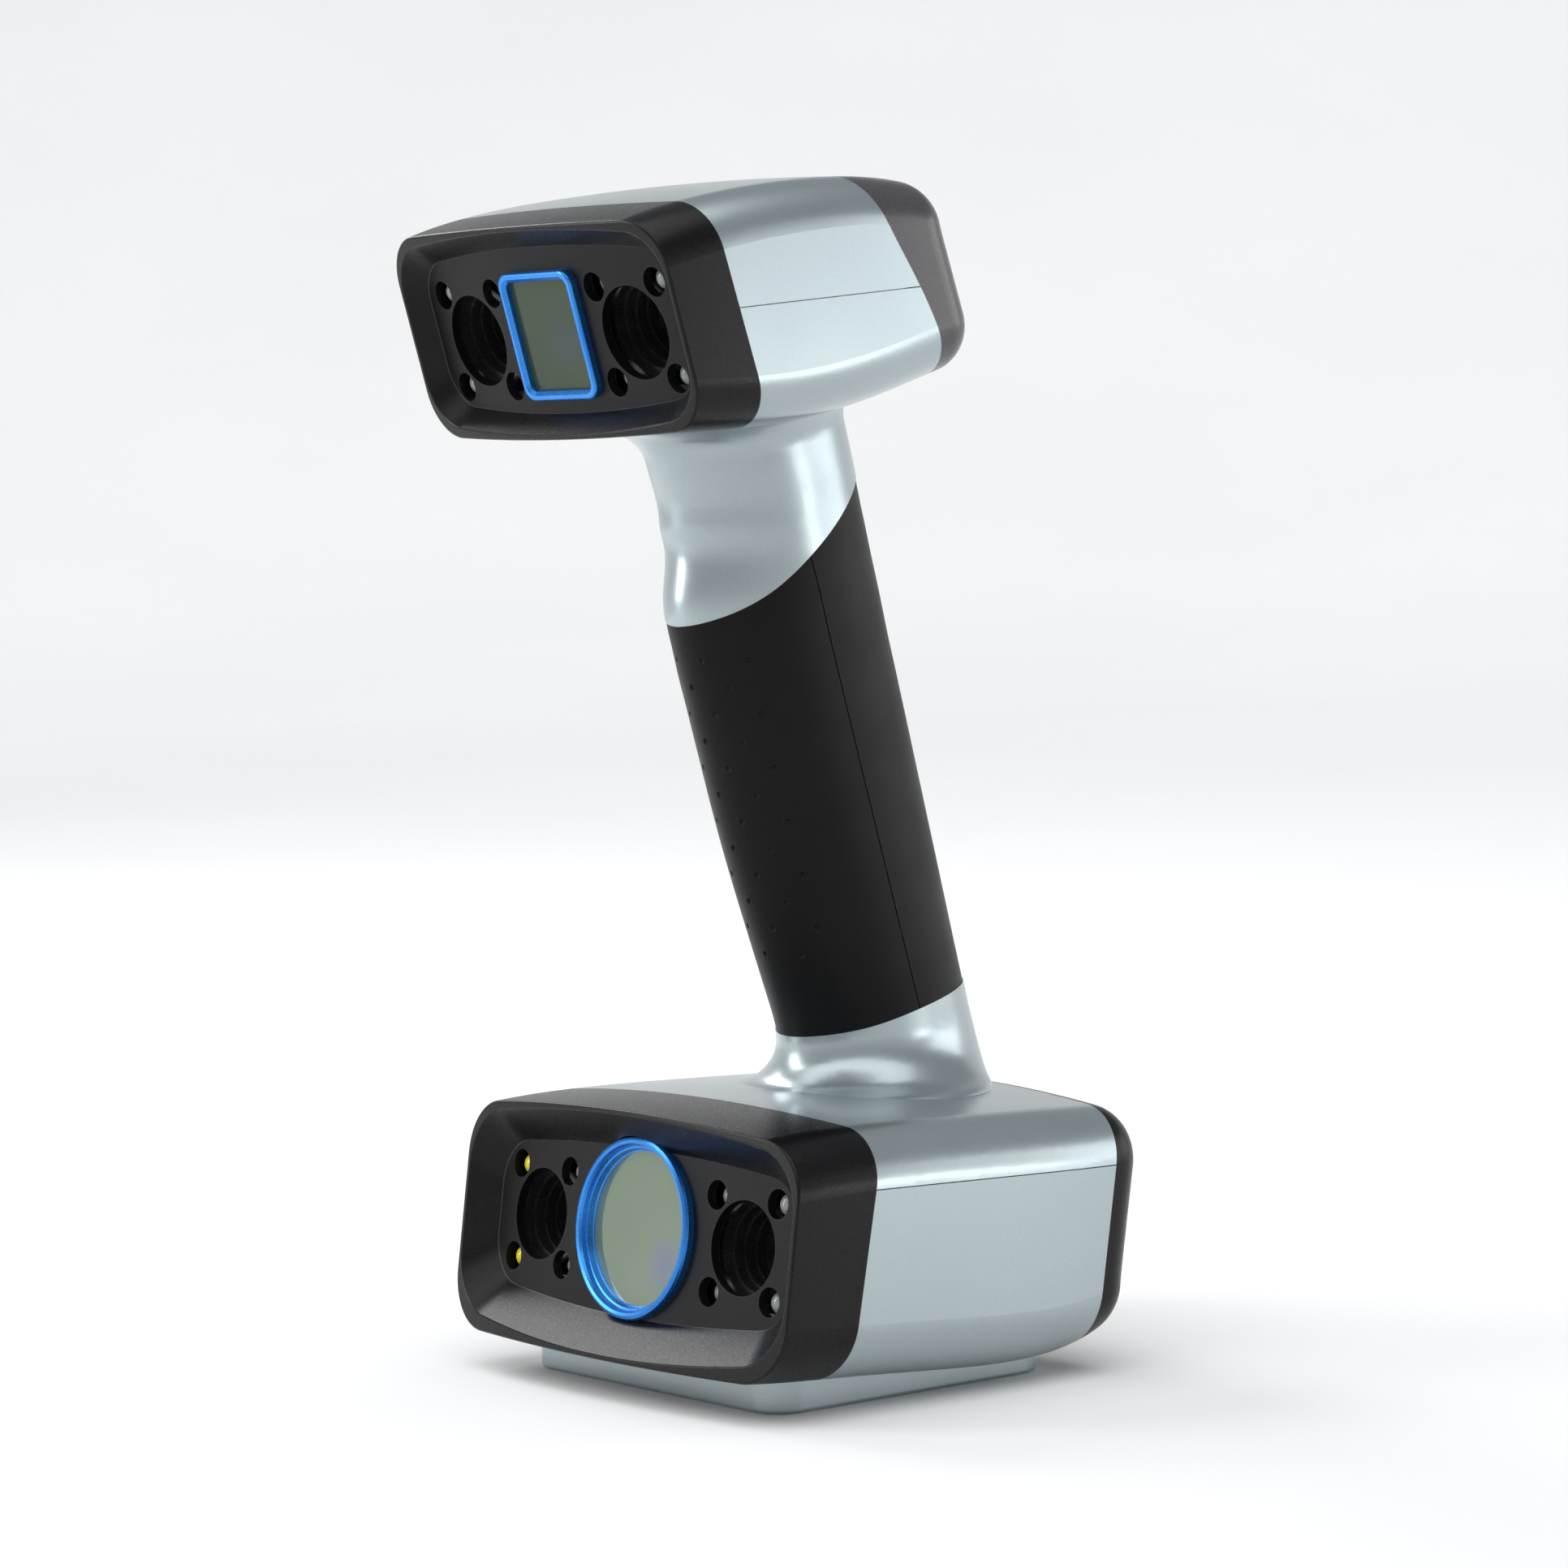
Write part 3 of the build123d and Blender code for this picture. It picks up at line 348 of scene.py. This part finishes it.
def make_materials():
    """Every material, by the record's slot name."""
    paint = silver_paint()
    barrel = barrel_black()
    rear = rear_plastic()
    return {
        "shell": paint,
        "pad": paint,
        "bezel": bezel_plastic(),
        "panel": panel_plastic(),
        "window_metal": blue_anodised(),
        "gasket": black_rubber("gasket_rubber", (0.6, 0.7)),
        "barrel": barrel,
        "lens_glass": lens_glass(),
        "lamp_clear": lamp_resin("clear_resin", (0.86, 0.88, 0.90), 0.75),
        "lamp_yellow": lamp_resin("yellow_resin", (0.78, 0.70, 0.02), 0.25),
        "board": circuit_board(),
        "chassis": metal("chassis_alloy", ((0.50, 0.51, 0.52), (0.60, 0.61, 0.62)), (0.30, 0.45)),
        "projector": barrel,
        "rear_cover_upper": graphite_plastic(),
        "rear_cover_lower": rear,
        "rear_panel": gloss_black(),
        "status_light": lamp_resin("frosted_guide", (0.70, 0.74, 0.78), 0.2),
        "button": button_plastic(),
        "grip": grip_rubber(),
        "cable": black_rubber("cable_jacket", (0.45, 0.55)),
        "socket_metal": metal("nickel", ((0.52, 0.52, 0.53), (0.62, 0.61, 0.60)), (0.18, 0.30)),
        "socket_insert": rear,
        "contacts": metal("gold_plate", ((0.80, 0.56, 0.20), (0.86, 0.64, 0.28)), (0.18, 0.28)),
        "screw": metal("blackened_steel", ((0.10, 0.10, 0.11), (0.16, 0.16, 0.17)), (0.28, 0.42)),
    }


def front_spot(name, across, up):
    """A point on the front of a node's box, at shares of its width and height."""
    low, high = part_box(name)
    return (low.x + across * (high.x - low.x), low.y, low.z + up * (high.z - low.z))


def window_glasses():
    """The two filter glasses: the lower one's paler base colour is a painted reflection of the lights,
    and the upper one's darker base colour is painted shade.
    """
    # where the violet reflection is painted on each glass
    lower_reflection_spot = front_spot("lower_window_glass", 0.78, 0.30)
    upper_reflection_spot = front_spot("upper_window_glass", 0.70, 0.36)
    return {
        # pale base colour: a painted reflection of the lights
        "lower_window_glass": filter_glass(
            "filter_painted_lit",
            (0.200, 0.262, 0.182),
            (0.230, 0.295, 0.215),
            (0.16, 0.15, 0.55),
            lower_reflection_spot,
            mirror=0.55,
            coat=0.8,
        ),
        # dark base colour: painted shade
        "upper_window_glass": filter_glass(
            "filter_painted_shaded",
            (0.030, 0.048, 0.028),
            (0.040, 0.062, 0.036),
            (0.04, 0.05, 0.16),
            upper_reflection_spot,
            mirror=0.1,
            coat=0.03,
        ),
    }


def paint_nodes(frame):
    """Give every CAD node the material of its slot in the record."""
    materials = make_materials()
    special = window_glasses()
    for part in frame["record"]["subparts"]:
        name, slot = part["node"], part["material_slot"]
        mesh = frame["nodes"][name].data
        mesh.materials.clear()
        mesh.materials.append(special[name] if name in special else materials[slot])


# ---------------------------------------------------------------- stage, light and camera
def make_stage():
    """A plain pale sweep: a flat floor whose far rim curves up on every side."""
    profile = [(0.0, 0.0), (FLOOR_FLAT, 0.0)]
    for step in range(1, SWEEP_STEPS + 1):
        turn = math.radians(90 * step / SWEEP_STEPS)
        profile.append((FLOOR_FLAT + SWEEP_RADIUS * math.sin(turn), SWEEP_RADIUS * (1 - math.cos(turn))))
    points = [(0.0, 0.0, 0.0)]
    faces = []
    for ring, (radius, height) in enumerate(profile[1:]):
        for side in range(SWEEP_SIDES):
            turn = 2 * math.pi * side / SWEEP_SIDES
            points.append((radius * math.cos(turn), radius * math.sin(turn), height))
            here = 1 + ring * SWEEP_SIDES + side
            beside = 1 + ring * SWEEP_SIDES + (side + 1) % SWEEP_SIDES
            if ring == 0:
                faces.append((0, here, beside))
            else:
                faces.append((here - SWEEP_SIDES, here, beside, beside - SWEEP_SIDES))
    mesh = bpy.data.meshes.new("floor")
    mesh.from_pydata(points, [], faces)
    mesh.shade_smooth()
    floor = bpy.data.objects.new("floor", mesh)
    bpy.context.scene.collection.objects.link(floor)
    material, tree, shader = new_material("floor_paper", (0.80, 0.80, 0.80), 0.9)
    tone = two_colours(tree, noise(tree, 3.0, 3.0), (0.79, 0.79, 0.79), (0.81, 0.81, 0.81))
    tree.links.new(tone, shader.inputs["Base Color"])
    shader.inputs["Specular IOR Level"].default_value = 0.1
    mesh.materials.append(material)


def area_light(name, place, width, height, power):
    """A rectangular soft light that faces the object."""
    data = bpy.data.lights.new(name, "AREA")
    data.shape = "RECTANGLE"
    data.size, data.size_y = width, height
    data.energy = power
    light = bpy.data.objects.new(name, data)
    bpy.context.scene.collection.objects.link(light)
    light.location = place
    light.rotation_mode = "QUATERNION"
    light.rotation_quaternion = (CAMERA_TARGET - Vector(place)).to_track_quat("-Z", "Y")


def make_world():
    """A faint even surround above the sweep."""
    world = bpy.data.worlds.new("studio")
    bpy.context.scene.world = world
    world.use_nodes = True
    background = world.node_tree.nodes["Background"]
    background.inputs["Color"].default_value = (0.92, 0.96, 1.0, 1.0)
    background.inputs["Strength"].default_value = 0.30


def make_lights():
    """Soft studio light: one wide light from above, and soft boxes round the object."""
    sky = bpy.data.lights.new("overhead", "SUN")
    sky.energy = 2.3
    sky.angle = math.radians(80)
    overhead = bpy.data.objects.new("overhead", sky)
    bpy.context.scene.collection.objects.link(overhead)
    overhead.rotation_euler = (math.radians(15), math.radians(10), 0)
    area_light("front_box", (-0.70, -0.85, 0.50), 0.35, 0.70, 5.0)
    area_light("left_box", (-1.05, 0.0, 0.85), 0.5, 0.5, 5.0)
    area_light("rear_box", (0.60, 1.15, 0.36), 0.8, 0.55, 3.0)
    area_light("side_box", (1.05, 0.80, 0.10), 0.30, 0.18, 1.0)


def make_camera():
    """The camera at the photograph's place, turned by its small roll."""
    data = bpy.data.cameras.new("camera")
    data.sensor_width = SENSOR_WIDTH
    data.lens = CAMERA_LENS
    camera = bpy.data.objects.new("camera", data)
    bpy.context.scene.collection.objects.link(camera)
    forward = (CAMERA_TARGET - CAMERA_PLACE).normalized()
    level = forward.cross(Vector((0, 0, 1))).normalized()
    upright = level.cross(forward)
    right = level * math.cos(CAMERA_ROLL) + upright * math.sin(CAMERA_ROLL)
    up = upright * math.cos(CAMERA_ROLL) - level * math.sin(CAMERA_ROLL)
    turn = Matrix((right, up, -forward)).transposed()
    camera.matrix_world = Matrix.Translation(CAMERA_PLACE) @ turn.to_4x4()
    bpy.context.scene.camera = camera


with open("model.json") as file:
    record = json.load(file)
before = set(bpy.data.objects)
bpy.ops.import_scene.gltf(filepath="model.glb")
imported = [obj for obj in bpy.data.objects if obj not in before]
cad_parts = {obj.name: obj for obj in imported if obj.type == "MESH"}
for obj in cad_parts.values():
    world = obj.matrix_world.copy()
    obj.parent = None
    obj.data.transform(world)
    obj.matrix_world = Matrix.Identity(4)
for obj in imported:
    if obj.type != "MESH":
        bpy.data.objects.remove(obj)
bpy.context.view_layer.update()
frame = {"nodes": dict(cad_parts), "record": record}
bpy.context.scene.view_settings.view_transform = "Standard"
make_camera()
make_world()
make_lights()
make_stage()
paint_nodes(frame)
